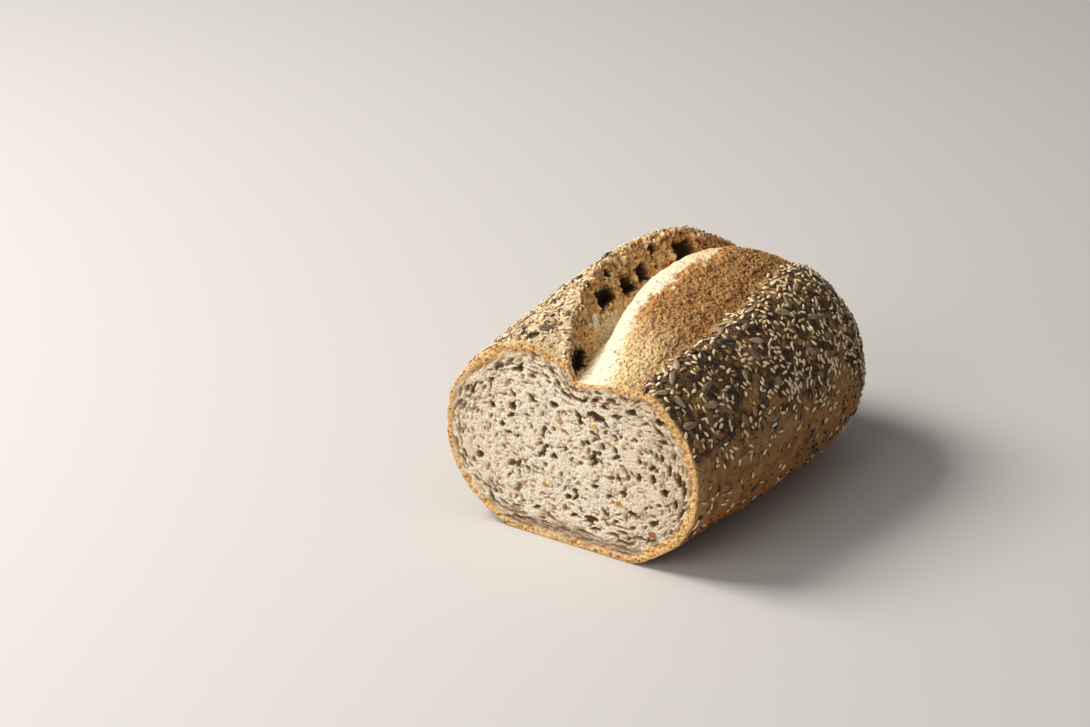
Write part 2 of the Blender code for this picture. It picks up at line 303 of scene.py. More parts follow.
def bake(points):
    """Fine relief, in metres, and colour of the loaf's outside at points of its form."""
    x, y, z = points[:, 0], points[:, 1] + LENGTH / 2, points[:, 2]
    lip, groove = lip_at(y), groove_at(y)
    above = eased((z - AXIS_HEIGHT) / 0.010)
    ragged = 0.0016 * noise(points, 0.0045, 1) + 0.0007 * noise(points, 0.0014, 2)
    warp = points + 0.0012 * noise(points, 0.004, 6)[:, None]
    fuzz = 0.55 * ridges(warp, (0.0009, 0.0026, 0.0012), 7) + 0.45 * ridges(warp, (0.0024, 0.0010, 0.0014), 8)

    # Where the skin is torn open: the wall with its pale ledge, the floury band and the toasted crumb.
    closing = eased((OPEN_END - y + 3 * ragged) / 0.004)
    opened = eased((x - lip - ragged) / TORN_EDGE) * above * closing
    opened = opened * eased((seam_at(y) + 2 * ragged - x) / TORN_EDGE)
    torn = opened * eased((groove + 0.0006 + 0.3 * ragged - x) / 0.0008)
    band = opened * (1 - torn) * eased((band_at(y) + 3 * ragged + 0.0012 * fuzz - x) / 0.0050)
    band = band * eased((BAND_END + 0.006 + 4 * ragged - y) / 0.022)
    toast = opened * (1 - torn) * (1 - band)
    ledge = torn * eased((x - groove + 0.0060 + 2 * ragged) / 0.0020) * bump(y, 0.066, 0.022)
    skin = 1 - opened

    # Relief: lumps in the skin, crags and pits in the wall, soft waves in the band, tufts on the toast.
    lumps = 0.00055 * noise(points, 0.009, 4) + 0.00028 * noise(points, 0.0030, 5)
    lumps += 0.00016 * ridges(warp, 0.0019, 34)
    lumps += 0.0004 * ridges(warp, 0.0042, 35) * eased((0.024 - y) / 0.012) * above
    crags = -0.0012 * ridges(warp, 0.0052, 9) + 0.0010 * ridges(warp, 0.0026, 10)
    crags = crags + 0.00050 * ridges(warp, 0.0013, 13)
    pits = eased((noise(points, 0.0024, 14) - 0.52) / 0.16)
    waves = 0.00050 * noise(points, 0.0060, 15) + 0.00026 * noise(points, 0.0015, 16)
    tufts = ridges(warp, (0.0026, 0.0034, 0.0030), 27)
    height = skin * lumps - FLAP_STEP * opened
    height += torn * (1 - 0.6 * ledge) * (crags - 0.0016 * pits) * eased((y + 0.006) / 0.030)
    height += band * (waves - 0.0007 * pits)
    height += toast * (0.00060 * noise(points, 0.0070, 17) + 0.00055 * tufts + 0.00042 * fuzz)

    broad = 0.5 + 0.5 * noise(points, 0.022, 18)
    meal = 0.5 + 0.6 * noise(points, 0.0019, 19)
    patch = eased((noise(points, 0.0055, 28) + 0.5 * noise(points, 0.0022, 29)) / 0.5)
    blotch = eased((noise(points, 0.012, 31) + 0.45 * noise(points, 0.0040, 32) + 0.10) / 0.7)
    spots = eased((noise(points, 0.0040, 40) + 0.4 * noise(points, 0.0015, 41) - 0.50) / 0.15)
    lower_mottle = noise(points, 0.0085, 49) + 0.6 * noise(points, 0.0027, 50)
    floured = eased((z - 0.026 + 0.010 * noise(points, 0.018, 55)) / 0.050)
    floured = floured * eased((0.188 - y + 0.008 * noise(points, 0.012, 56)) / 0.060)
    floured = floured * eased((lip + 0.002 - x) / 0.004)
    right_side = eased((x - lip) / 0.004)
    at_cut = skin * eased((0.0075 - y + 2 * ragged) / 0.004) * eased(z / 0.012)
    near = toast * eased((0.062 - y) / 0.045) * eased((0.042 - x) / 0.020)
    by_band = eased((band_at(y) + 0.008 + 3 * ragged - x) / 0.007)
    colours = np.tile(np.array(linear("#ab8254")[:3]), (len(points), 1))
    for share, colour in (
        # the skin, mottled by meal, browner at its foot
        (0.70 * broad, "#96703f"),
        (0.50 * blotch, "#8a6338"),
        (0.50 * eased(-0.2 - noise(points, 0.0075, 33)), "#c9a06c"),
        (0.45 * meal, "#c69e6b"),
        (0.75 * eased((0.034 - z) / 0.030), "#9d5b20"),
        (0.60 * eased((0.012 - z) / 0.010), "#60340e"),
        (0.92 * floured, "#e5cca6"),
        (0.55 * spots, "#6a492d"),
        # orange low on the right flank: the crust's own colour, warmed by a painted warm light on that shaded
        # side
        (0.58 * right_side * eased((0.064 - z) / 0.044), "#b5691f"),
        (0.65 * eased((0.014 - z) / 0.012), "#7c4310"),
        # darker blotches on the lower half, paler ones above the foot
        (0.45 * eased((lower_mottle - 0.05) / 0.4) * (1 - above), "#67482a"),
        (0.45 * eased((-0.15 - lower_mottle) / 0.4) * eased((z - 0.012) / 0.02), "#b3916c"),
        (0.50 * at_cut, "#d0a96f"),
        # what shows between the seeds, darkened by painted shade among them, and darker in the poppy mats
        ((0.15 + 0.30 * right_side) * seed_cover(points), "#8a6238"),
        ((0.40 + 0.28 * right_side) * mat_cover(points), "#3d3029"),
        # the toasted crumb: golden beside the band, with painted highlights on its tufts and painted shade in
        # its gaps, cream near the cut
        (toast, "#a16f3c"),
        (0.85 * toast * blotch, "#6d4a2b"),
        (0.45 * toast * patch, "#7a5330"),
        (0.65 * toast * by_band, "#c98b45"),
        (0.45 * toast * eased((noise(points, 0.0085, 53) - 0.10) / 0.4), "#c38842"),
        (0.60 * toast * eased((fuzz + 0.4 * tufts - 0.2) / 0.8), "#e0b074"),
        (0.65 * toast * eased((-0.10 - fuzz) / 0.8), "#4c3019"),
        (0.92 * near, "#f0d6a2"),
        (0.65 * near * eased((noise(points, 0.0030, 30) - 0.10) / 0.3), "#cf9550"),
        # the floury band, yellower towards its far end, with painted shade in its pits
        (band, "#f9ebcc"),
        (0.30 * band * meal, "#e4cfa6"),
        (0.75 * band * eased((y - 0.085) / 0.045), "#f0c98a"),
        (0.75 * band * eased((noise(points, 0.0016, 54) - 0.52) / 0.15), "#8d6b44"),
        (0.80 * band * pits, "#7d5c3a"),
        # the torn wall, with painted highlights on its crags and painted shade in its gaps and pits
        (torn, "#ecbc7e"),
        (0.38 * torn * patch, "#c58544"),
        (0.85 * torn * eased((crags - 0.0001) / 0.0011), "#f6dcae"),
        (0.72 * torn * eased((-0.0003 - crags) / 0.0010), "#5f3d22"),
        (0.80 * torn * pits, "#3a2312"),
        (0.96 * ledge, "#fbecc8"),
    ):
        paint(colours, share, colour)
    return height, colours


def grid_faces(rows, columns, closed=False):
    """Quads of a grid whose points run row by row; closed joins the last column to the first."""
    row = np.arange(rows - 1)[:, None] * columns
    column = np.arange(columns if closed else columns - 1)
    after = (column + 1) % columns
    corners = (row + column, row + columns + column, row + columns + after, row + after)
    return np.stack(corners, -1).reshape(-1, 4).tolist()


def lift(points, rows, height, closed=False):
    """Moves the points of a grid along its normals, which are rows crossed with columns."""
    grid = points.reshape(rows, -1, 3)
    across = np.roll(grid, -1, 1) - np.roll(grid, 1, 1) if closed else np.gradient(grid, axis=1)
    normal = np.cross(np.gradient(grid, axis=0), across).reshape(-1, 3)
    normal /= np.maximum(np.linalg.norm(normal, axis=1), 1e-12)[:, None]
    moved = points + normal * height[:, None]
    moved[:, 2] = np.maximum(moved[:, 2], 0)
    return moved


def make_piece(name, points, faces, material, **attributes):
    """A smooth mesh object with one value, or one colour, at each of its points for each attribute."""
    mesh = bpy.data.meshes.new(name)
    mesh.from_pydata(points.tolist(), [], faces)
    for key, values in attributes.items():
        kind, field = "FLOAT", "value"
        if values.ndim > 1:
            kind, field = "FLOAT_COLOR", "color"
            values = np.column_stack([values, np.ones(len(values))])
        layer = mesh.attributes.new(key, kind, "POINT")
        layer.data.foreach_set(field, values.astype(np.float32).ravel())
    mesh.shade_smooth()
    mesh.materials.append(material)
    piece = bpy.data.objects.new(name, mesh)
    bpy.context.scene.collection.objects.link(piece)
    return piece


def add_node(tree, kind, sockets=(), **settings):
    """Adds a node with its settings; sockets gives its inputs a value or the output that feeds them.

    By number, a Map Range has value, from and to as 0 to 4, a colour Mix its share as 0, colours as 6 and 7.
    """
    node = tree.nodes.new(kind)
    for name, value in settings.items():
        setattr(node, name, value)
    for key, value in dict(sockets).items():
        if isinstance(value, bpy.types.NodeSocket):
            tree.links.new(value, node.inputs[key])
        else:
            node.inputs[key].default_value = value
    return node


def start_material(name, **shader):
    """A material with only its Principled shader, whose named sockets get constants, and its output."""
    material = bpy.data.materials.new(name)
    material.use_nodes = True
    tree = material.node_tree
    bsdf = tree.nodes["Principled BSDF"]
    for key, value in shader.items():
        bsdf.inputs[key.replace("_", " ")].default_value = value
    return material, tree, bsdf


# Baked rye crust is a dry, matt, open surface: no gloss but on crests, mottled finely by meal and bran.
crust_finish, tree, bsdf = start_material("baked_rye_crust", Roughness=0.82, IOR=1.45,
                                          Specular_IOR_Level=0.25)
place = add_node(tree, "ShaderNodeTexCoord").outputs["Object"]
tint = add_node(tree, "ShaderNodeAttribute", attribute_name="tint").outputs["Color"]
bran = add_node(tree, "ShaderNodeTexNoise", {"Vector": place, "Scale": 1 / 0.0011, "Detail": 3.0})
meal = add_node(tree, "ShaderNodeTexNoise", {"Vector": place, "Scale": 1 / 0.0032, "Detail": 4.0})
shade = add_node(tree, "ShaderNodeMapRange", {0: bran.outputs["Fac"], 1: 0.3, 2: 0.7, 3: 0.62, 4: 1.32})
mottled = add_node(tree, "ShaderNodeMix", {0: 1.0, 6: tint, 7: shade.outputs[0]}, data_type="RGBA",
                   blend_type="MULTIPLY")
specks = add_node(tree, "ShaderNodeTexNoise", {"Vector": place, "Scale": 1 / 0.0017, "Detail": 1.0,
                                               "Roughness": 0.4})
specks = add_node(tree, "ShaderNodeMapRange", {0: specks.outputs["Fac"], 1: 0.62, 2: 0.68, 3: 0.0, 4: 0.35})
mottled = add_node(tree, "ShaderNodeMix", {0: specks.outputs[0], 6: mottled.outputs[2], 7: linear("#5a3f28")},
                   data_type="RGBA")
tree.links.new(mottled.outputs[2], bsdf.inputs["Base Color"])
grit = add_node(tree, "ShaderNodeBump", {"Height": meal.outputs["Fac"], "Strength": 0.8, "Distance": 0.0010})
grit = add_node(tree, "ShaderNodeBump", {"Height": bran.outputs["Fac"], "Strength": 0.8, "Distance": 0.0005,
                                         "Normal": grit.outputs["Normal"]})
tree.links.new(grit.outputs["Normal"], bsdf.inputs["Normal"])

# Angles round the section that lie equally far apart along the middle of the loaf.
fine_angle = np.linspace(0, 2 * np.pi, 4001)
middle = form(fine_angle, np.full(4001, LENGTH / 2), np.ones(4001))
travelled = np.concatenate([[0], np.cumsum(np.linalg.norm(np.diff(middle, axis=0), axis=1))])
travelled /= travelled[-1]
skin_angle = np.interp(np.arange(SKIN_COLUMNS) / SKIN_COLUMNS, travelled, fine_angle)

straight = np.linspace(CUT_JOIN - JOIN_STEP, LENGTH - END_ROUNDING, SKIN_ROWS)
turn = np.cos(np.pi / 2 * np.arange(1, SKIN_ROWS_ROUND_END) / SKIN_ROWS_ROUND_END)
rounded = LENGTH - END_ROUNDING + END_ROUNDING * (1 - turn**END_SQUARENESS) ** (1 / END_SQUARENESS)
skin_y = np.concatenate([straight, rounded])
skin_end = np.concatenate([np.ones(SKIN_ROWS), turn])
angles, distances = np.meshgrid(skin_angle, skin_y)
skin_form = form(angles.ravel(), distances.ravel(), np.repeat(skin_end, SKIN_COLUMNS))
skin_height, skin_colours = bake(skin_form)
skin_height *= np.repeat(np.minimum(1, skin_end * 2.5), SKIN_COLUMNS)
bed_points = lift(skin_form, len(skin_y), skin_height, closed=True)

x, y, z = skin_form[:, 0], distances.ravel(), skin_form[:, 2]
inside = eased((x - lip_at(y) + WINDOW_OFF_LIP - JOIN_STEP) / 0.003)
inside = inside * eased((seam_at(y) + WINDOW_OFF_SEAM - JOIN_STEP - x) / 0.003)
inside = inside * eased((WINDOW_END - JOIN_STEP - y) / 0.003) * (z > AXIS_HEIGHT)
dip = JOIN_DIP * (y < CUT_JOIN - JOIN_STEP / 2)
skin_points = lift(skin_form, len(skin_y), skin_height - dip - WINDOW_SINK * inside, closed=True)
hollow, sunk = cavity_form(x, y)
skin_points += ((sunk + SHELL_CLEARANCE * hollow) * inside)[:, None] * INTO_WALL
# The cavities get their painted shade, near black, on the shell too.
paint(skin_colours, hollow * inside, CAVITY_SHADE)

tip = np.array([[0, LENGTH / 2, AXIS_HEIGHT - END_AXIS_DROP]])
mouth = np.array([[0, skin_form[0, 1], AXIS_HEIGHT]])
last_row = (len(skin_y) - 1) * SKIN_COLUMNS
count = len(skin_points)
skin_faces = grid_faces(len(skin_y), SKIN_COLUMNS, closed=True)
for column in range(SKIN_COLUMNS):
    after = (column + 1) % SKIN_COLUMNS
    skin_faces.append([last_row + column, count, last_row + after])
    skin_faces.append([after, count + 1, column])
end_colours = np.array([skin_colours[-1], skin_colours[0]])
crust = make_piece("crust", np.vstack([skin_points, tip, mouth]), skin_faces, crust_finish,
                   tint=np.vstack([skin_colours, end_colours]))
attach(crust, "root")
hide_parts("rye_loaf")


# Burst: where the slash tore open in the oven. From left to right it is the lobe's ragged edge, the craggy
# torn wall with its cavities, the floury band and the toasted, fibrous crumb up to the seeded seam.
# A fine grid over the sunk part of the crust; its edges dip under the crust and under the cut's rim.
BURST_ROWS = 440
BURST_COLUMNS = 224  # from right to left: the top, the steep torn wall, the lobe's edge
WALL_FROM_COLUMN = 122
WALL_TO_COLUMN = 213
BURST_FLOOR = 0.060

row_y = np.linspace(CUT_JOIN - JOIN_STEP, WINDOW_END, BURST_ROWS)
left_edge, right_edge = lip_at(row_y) - WINDOW_OFF_LIP, seam_at(row_y) + WINDOW_OFF_SEAM
turning = (0, WALL_FROM_COLUMN, WALL_TO_COLUMN, BURST_COLUMNS - 1)
stops = np.stack([right_edge, groove_at(row_y), lip_at(row_y), left_edge], -1)
burst_x = np.stack([np.interp(np.arange(BURST_COLUMNS), turning, stop) for stop in stops]).ravel()
burst_y = np.repeat(row_y, BURST_COLUMNS)
burst_form = form(angle_above(burst_x, burst_y), burst_y, end_at(burst_y))
burst_height, burst_colours = bake(burst_form)
from_left = burst_x - np.repeat(left_edge, BURST_COLUMNS)
from_right = np.repeat(right_edge, BURST_COLUMNS) - burst_x
inset = np.minimum.reduce([from_left, from_right, WINDOW_END - burst_y, burst_y - row_y[0]])
dip = JOIN_DIP * (1 - np.clip(inset / JOIN_STEP, 0, 1))
burst_hollow, sunk = cavity_form(burst_x, burst_y)
# Painted shade, near black, deep in the cavities.
paint(burst_colours, burst_hollow * 0.94, CAVITY_SHADE)
burst_points = lift(burst_form, BURST_ROWS, burst_height - dip) + sunk[:, None] * INTO_WALL

# The sides and the flat underside, hidden in the crust, close the piece.
grid = np.arange(BURST_ROWS * BURST_COLUMNS).reshape(BURST_ROWS, BURST_COLUMNS)
under_right = burst_points[grid[:, 0]].copy()
under_left = burst_points[grid[:, -1]].copy()
under_right[:, 2] = under_left[:, 2] = BURST_FLOOR
count = len(burst_points)
right_low = count + np.arange(BURST_ROWS)
left_low = right_low + BURST_ROWS
burst_faces = grid_faces(BURST_ROWS, BURST_COLUMNS)
for row in range(BURST_ROWS - 1):
    burst_faces.append([grid[row, 0], right_low[row], right_low[row + 1], grid[row + 1, 0]])
    burst_faces.append([grid[row, -1], grid[row + 1, -1], left_low[row + 1], left_low[row]])
    burst_faces.append([right_low[row], left_low[row], left_low[row + 1], right_low[row + 1]])
burst_faces.append([*grid[0], left_low[0], right_low[0]])
burst_faces.append([*grid[-1][::-1], right_low[-1], left_low[-1]])
burst_faces = [[int(corner) for corner in face] for face in burst_faces]
hidden = np.tile(np.array(linear("#a3692f")[:3]), (2 * BURST_ROWS, 1))
burst = make_piece("burst", np.vstack([burst_points, under_right, under_left]), burst_faces, crust_finish,
                   tint=np.vstack([burst_colours, hidden]))
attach(burst, "root")
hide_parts("rye_loaf")


# Crumb: the cut face, with the first 5 mm of the loaf behind it. It is soft, pale grey, risen rye and wheat
# dough. Its pores are cut open, long and flat beside the crust and rounder in the middle, and a thin toasted
# rim rings it.
CRUMB_CELLS = 284
CRUMB_CENTRE = (0.0, 0.044)
RIM_ROWS = 12
PORE_CELL = 0.0002
PORE_DEEPEST = 0.0040
PORE_DEPTH = 1.4
RIM_WIDTH = 0.0024

around = 4 * CRUMB_CELLS
ring_angle = np.interp(np.arange(around) / around, travelled, fine_angle)
ring_y = np.append(np.linspace(0, CUT_JOIN, RIM_ROWS), CUT_JOIN + JOIN_STEP)
angles, distances = np.meshgrid(ring_angle, ring_y)
rim_form = form(angles.ravel(), distances.ravel(), np.ones(angles.size))
rim_height, rim_colours = bake(rim_form)
rim_height = rim_height - JOIN_DIP * (distances.ravel() > CUT_JOIN + JOIN_STEP / 2)
rim_points = lift(rim_form, len(ring_y), rim_height, closed=True)
outline = rim_points[:around][:, [0, 2]]

# The square grid is laid on the face ring by ring, each ring a smaller copy of the outline.
u, v = np.meshgrid(*[np.linspace(-1, 1, CRUMB_CELLS + 1)] * 2)
u, v = u.ravel(), v.ravel()
spread = np.maximum(np.maximum(np.abs(u), np.abs(v)), 1e-9)
side = np.select([u >= spread, v >= spread, u <= -spread, v <= -spread],
                 [v, 2 * spread - u, 4 * spread - v, 6 * spread + u])
ring_share = (side / spread / 8) % 1
loop = np.vstack([outline, outline[:1]])
ring_at = np.linspace(0, 1, around + 1)
edge_points = np.column_stack([np.interp(ring_share, ring_at, loop[:, i]) for i in (0, 1)])
face_xz = CRUMB_CENTRE + spread[:, None] * (edge_points - CRUMB_CENTRE)
along = np.roll(outline, -1, 0) - np.roll(outline, 1, 0)
outward = np.column_stack([along[:, 1], -along[:, 0]])
outward /= np.linalg.norm(outward, axis=1)[:, None]
rim_thick = np.sum((outline - CRUMB_CENTRE) * outward, axis=1)
from_rim = (1 - spread) * np.interp(ring_share, ring_at, np.append(rim_thick, rim_thick[0]))

# The pores: hollow ellipsoids cut open, kept as a fine map of depth behind the cut. The large come first.
LARGE_PORES = np.array((
    # in mm: middle across and up, half width and half height
    (-28.7, 84.2, 1.8, 1.9), (-32.9, 63.7, 2.2, 2.4), (-44.6, 61.4, 1.8, 2.0), (-9.1, 70.7, 2.6, 1.7),
    (15.9, 69.9, 4.4, 2.2), (13.7, 47.8, 2.4, 3.3), (39.2, 54.0, 1.2, 1.7), (50.9, 58.7, 1.3, 2.4),
    (57.6, 61.3, 1.0, 2.4), (46.4, 47.1, 1.6, 2.8), (38.5, 45.7, 1.4, 2.5), (52.8, 41.5, 2.0, 2.2),
    (49.0, 76.5, 2.6, 1.6), (34.1, 77.6, 2.8, 1.7), (27.4, 41.8, 1.7, 1.4), (-52.1, 33.3, 2.1, 2.1),
    (-38.8, 53.1, 1.6, 1.6), (-56.3, 65.9, 1.3, 2.1), (18.5, 55.8, 1.3, 1.6), (5.5, 65.6, 1.4, 1.6),
    (60.4, 51.0, 1.3, 3.6), (-40.2, 82.7, 2.3, 1.3), (-22.2, 71.7, 1.4, 1.2), (-62.4, 43.0, 1.0, 2.2),
    (-9.0, 43.8, 2.1, 1.5), (21.9, 31.3, 1.6, 1.3), (-0.8, 24.9, 1.9, 1.5), (-23.9, 33.7, 1.5, 1.4),
    (34.8, 25.9, 2.2, 1.3), (58.7, 37.0, 1.3, 2.6), (12.4, 17.0, 5.0, 1.4), (27.7, 17.2, 5.8, 0.7),
    (30.5, 14.6, 3.3, 1.0), (40.0, 14.3, 4.3, 1.0), (60.6, 49.9, 1.4, 3.6), (55.3, 53.6, 1.2, 3.4),
)) / 1000
PORE_KINDS = (
    # how many, least and greatest half width, longest compared with wide
    (330, 0.0007, 0.0013, 2.0),
    (2100, 0.00034, 0.0007, 2.3),
    (6500, 0.00020, 0.00034, 2.0),
)
rng = np.random.default_rng(41)
low, high = outline.min(0), outline.max(0)
pore_map = np.zeros(np.ceil((high - low) / PORE_CELL).astype(int) + 2)
map_x = low[0] + np.arange(pore_map.shape[0]) * PORE_CELL
map_z = low[1] + np.arange(pore_map.shape[1]) * PORE_CELL


def press_pore(centre, half_length, half, turn, behind):
    """Deepens the map by one hollow ellipsoid whose middle lies behind the cut."""
    reach = max(half_length, half) * 1.05
    i0, j0 = np.maximum(((centre - reach - low) / PORE_CELL).astype(int), 0)
    i1, j1 = ((centre + reach - low) / PORE_CELL).astype(int) + 2
    dx, dz = map_x[i0:i1, None] - centre[0], map_z[None, j0:j1] - centre[1]
    ragged = 0.35 * np.sin(1400 * dx + 60 * centre[1] / PORE_CELL)
    ragged = 1 + ragged * np.sin(1700 * dz + 40 * centre[0] / PORE_CELL)
    lengthwise = (dx * np.cos(turn) + dz * np.sin(turn)) / half_length
    crosswise = (dz * np.cos(turn) - dx * np.sin(turn)) / half
    below = 1 - (lengthwise**2 + crosswise**2) * ragged
    depth = np.where(below > 0, behind + half * PORE_DEPTH * np.sqrt(np.maximum(below, 0)), 0)
    depth = np.where(below > (behind / (PORE_DEPTH * half)) ** 2, depth, 0)
    patch = pore_map[i0:i1, j0:j1]
    np.maximum(patch, np.minimum(depth, PORE_DEEPEST), out=patch)


for middle_x, middle_z, half_width, half_height in LARGE_PORES:
    half = min(half_width, half_height)
    press_pore(np.array([middle_x, middle_z]), max(half_width, half_height), half,
               0 if half_width > half_height else np.pi / 2, 0.5 * half)
for number, least, most, longest in PORE_KINDS:
    made = 0
    while made < number:
        centre = low + rng.random(2) * (high - low)
        nearest = np.argmin(np.sum((outline - centre) ** 2, axis=1))
        inward = np.sum((outline[nearest] - centre) * outward[nearest])
        half = least + (most - least) * rng.random() ** 1.8
        stretch = 1 + (longest - 1) * (0.35 + rng.random()) * (1 + 2.4 * np.exp(-max(inward, 0) / 0.009))
        low_down = 1.35 * np.exp(-max(centre[1], 0) / 0.008)
        crowded = noise(np.array([[*centre, 0]]), 0.016, 31)[0] > -0.1
        wanted = 0.35 + 0.65 * np.exp(-inward / 0.011) + 0.35 * crowded
        if inward < RIM_WIDTH + 0.9 * half or rng.random() > wanted:
            continue
        made += 1
        half_length = half * (stretch + low_down)
        half = half / (1 + 0.5 * low_down)
        rim_turn = np.arctan2(along[nearest][1], along[nearest][0])
        turn = rim_turn + rng.normal() * (0.18 + 1.2 * eased((inward - 0.006) / 0.030))
        behind = half * (rng.uniform(-0.25, 0.75) + 0.7 * np.exp(-inward / 0.008))
        press_pore(centre, half_length, half, turn, behind)

at = (face_xz - low) / PORE_CELL
i, j = np.clip(at.astype(int), 0, np.array(pore_map.shape) - 2).T
fx, fz = (at - np.floor(at)).T
depth = ((pore_map[i, j] * (1 - fx) + pore_map[i + 1, j] * fx) * (1 - fz)
         + (pore_map[i, j + 1] * (1 - fx) + pore_map[i + 1, j + 1] * fx) * fz)
face_x, face_z = face_xz.T
flat = np.column_stack([face_x, np.zeros(len(u)), face_z])
within = eased(from_rim / 0.0012)
knife = 0.00016 * noise(flat, 0.0030, 32) + 0.00010 * noise(flat, 0.0011, 33)
knife = knife + 0.00035 * noise(flat, 0.014, 34) + 0.0003

# The toasted rim is crumbly, and wider over the lobe and at the right. Low down the dough is creased.
rim_width = RIM_WIDTH + 0.0018 * eased((face_z - 0.070) / 0.015) * eased((-face_x - 0.014) / 0.010)
rim_width += 0.0020 * eased((face_x - 0.015) / 0.030)
rim_width += 0.0013 * noise(flat, 0.0042, 35) + 0.0010 * noise(flat, 0.0014, 36)
toasted = eased((rim_width + 0.0006 - from_rim) / 0.0014)
crumbly = ridges(flat, 0.0017, 48)
squeezed_and_shadowed = eased((0.012 + 0.005 * noise(flat, (0.012, 1, 0.004), 44) - face_z) / 0.008)
creases = squeezed_and_shadowed * eased((noise(flat, (0.0060, 1, 0.0011), 45) - 0.02) / 0.35)
crumbled = toasted * (0.0003 + 0.00045 * crumbly)
face_points = flat.copy()
face_points[:, 1] = -LENGTH / 2 + within * (depth + knife - crumbled + 0.0014 * creases)

tone = 0.5 + 0.5 * noise(flat, 0.012, 38)
speck = noise(flat, 0.0010, 39)
under_crust = eased((0.0062 + 0.0015 * noise(flat, 0.006, 37) - from_rim) / 0.005)
outermost = eased((0.0007 + 0.0010 * noise(flat, 0.0024, 42) - from_rim) / 0.0010)
face_colours = np.tile(np.array(linear("#efe4ce")[:3]), (len(u), 1))
for share, colour in (
    # the crumb's walls, greyer in specks, duller to the right and the left, squeezed low down and darkened
    # there by a painted shadow, with painted shade in its creases
    (0.45 * tone, "#e0d2b6"),
    (0.45 * eased((speck - 0.15) / 0.6), "#bba583"),
    (0.50 * eased((-0.3 - speck) / 0.5), "#f3ede0"),
    (0.75 * eased((noise(flat, 0.0009, 46) - 0.50) / 0.15), "#614a36"),
    (0.40 * eased((face_x - 0.015) / 0.040), "#ccb48c"),
    (0.30 * eased((-face_x - 0.020) / 0.040), "#d3bf99"),
    (0.65 * squeezed_and_shadowed, "#87694a"),
    (0.85 * creases, "#4c3a2a"),
    (0.25 * under_crust, "#e6cca2"),
    # the pores, warmer with depth and darker with it, a painted shade in their hollows
    (0.80 * eased((depth - 0.0002) / 0.0008), "#b28b5e"),
    (0.90 * eased((depth - 0.0006) / 0.0012), "#553a24"),
    (0.25 * eased(tone * 1.6 - 0.9), "#f6f1e6"),
    # the toasted rim, golden and mottled, with painted highlights on its crumbs and painted shade between
    # them
    (0.45 * eased((rim_width + 0.0028 - from_rim) / 0.0030), "#ecca96"),
    (0.90 * toasted, "#dba866"),
    (0.60 * toasted * eased((noise(flat, 0.0023, 47) - 0.05) / 0.4), "#b27633"),
    (0.55 * toasted * eased((crumbly - 0.15) / 0.6), "#f2d8a6"),
    (0.60 * toasted * eased((-0.25 - crumbly) / 0.5), "#7d4f24"),
    (0.55 * outermost, "#b87c3a"),
):
    paint(face_colours, share, colour)
GRAINS = (
    # bits of whole grain that the knife cut, in mm: middle across and up, half width and height, colour
    (27.5, 29.2, 1.8, 1.5, "#c07a2c"), (46.6, 18.5, 2.2, 1.8, "#9a4f22"), (13.6, 65.6, 1.7, 1.4, "#d9b056"),
    (-14.0, 28.1, 1.8, 1.5, "#d6a850"), (-5.9, 63.3, 1.2, 1.4, "#c8893f"), (5.0, 34.0, 1.0, 1.2, "#8a6a3e"),
    (-36.0, 44.0, 1.2, 0.9, "#c99a52"), (-26.0, 25.0, 1.3, 0.9, "#cf9c4c"),
    (-22.0, 79.0, 1.3, 0.8, "#d3a95a"), (30.0, 60.0, 0.9, 1.2, "#b98a48"), (12.0, 18.0, 1.2, 0.9, "#a5733a"),
    (-48.0, 52.0, 0.9, 1.2, "#c79145"),
)
for middle_x, middle_z, half_width, half_height, hue in GRAINS:
    off = np.hypot((face_x * 1000 - middle_x) / half_width, (face_z * 1000 - middle_z) / half_height)
    inside = eased((1.15 + 0.3 * noise(flat, 0.0009, 43) - off) / 0.3)
    face_points[:, 1] -= inside * 0.0005
    paint(face_colours, 0.9 * inside, hue)

# One mesh: the face's outermost ring is the rim's first row, so its points are used for both.
face_count = len(u)
ring_index = np.lexsort((ring_share, spread < 1 - 1e-6))[:around]
rim_index = np.concatenate([ring_index, face_count + np.arange(around * (len(ring_y) - 1))])
face_points[ring_index] = rim_points[:around]
face_quads = np.array(grid_faces(CRUMB_CELLS + 1, CRUMB_CELLS + 1))[:, ::-1]
rim_quads = rim_index[np.array(grid_faces(len(ring_y), around, closed=True))]
back = np.array([[CRUMB_CENTRE[0], rim_points[-1, 1], CRUMB_CENTRE[1]]])
crumb_points = np.vstack([face_points, rim_points[around:], back])
last_ring = rim_index[-around:]
back_faces = [[int(a), len(crumb_points) - 1, int(b)] for a, b in zip(last_ring, np.roll(last_ring, -1))]
crumb_colours = np.vstack([face_colours, rim_colours[around:], rim_colours[:1]])

# Open crumb is matt and a little translucent, with walls finer than the mesh, drawn here as pits under 1 mm.
crumb_finish, tree, bsdf = start_material("open_rye_crumb", Roughness=0.9, IOR=1.4, Specular_IOR_Level=0.15,
                                          Subsurface_Weight=0.12, Subsurface_Scale=0.0015)
place = add_node(tree, "ShaderNodeTexCoord").outputs["Object"]
tint = add_node(tree, "ShaderNodeAttribute", attribute_name="tint").outputs["Color"]
pits = add_node(tree, "ShaderNodeTexVoronoi", {"Vector": place, "Scale": 1 / 0.0010}, feature="SMOOTH_F1")
grain = add_node(tree, "ShaderNodeTexNoise", {"Vector": place, "Scale": 1 / 0.0008, "Detail": 3.0})
shade = add_node(tree, "ShaderNodeMapRange", {0: grain.outputs["Fac"], 1: 0.3, 2: 0.72, 3: 1.10, 4: 0.76})
mottled = add_node(tree, "ShaderNodeMix", {0: 1.0, 6: tint, 7: shade.outputs[0]}, data_type="RGBA",
                   blend_type="MULTIPLY")
tree.links.new(mottled.outputs[2], bsdf.inputs["Base Color"])
